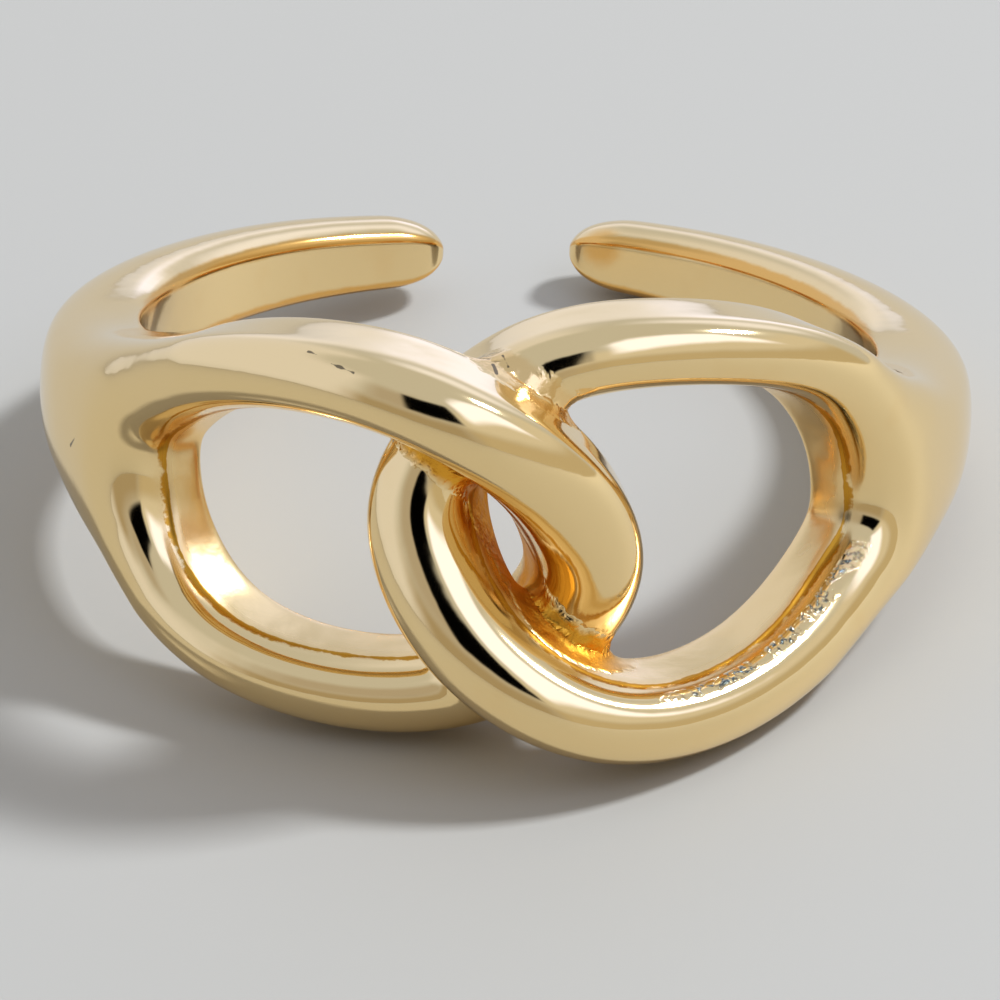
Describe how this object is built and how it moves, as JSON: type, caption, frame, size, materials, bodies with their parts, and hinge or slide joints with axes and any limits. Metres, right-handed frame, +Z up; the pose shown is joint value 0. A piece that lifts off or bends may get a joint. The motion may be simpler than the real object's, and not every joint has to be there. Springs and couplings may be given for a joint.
{
  "type": "adjustable open knot ring",
  "caption": "Open finger ring, interlocked teardrop links fused as a knot at the front, tapering band with free ends at the back.",
  "frame": {"origin": "centre of the footprint's box, on the surface that the ring lies on", "axes": "+Z up; the knot faces -Y and the open ends are towards +Y; the ring lies on its side, so the finger hole runs up and leans 12.0 degrees towards +Y and 5.4 degrees towards +X"},
  "size_m": [0.0218, 0.0236, 0.0105],
  "materials": {
    "gold": "mirror-polished pale gold plate over cast brass, left as cast in the crevices"
  },
  "bodies": {
    "root": {"knot_ring": "gold"}
  },
  "joints": []
}
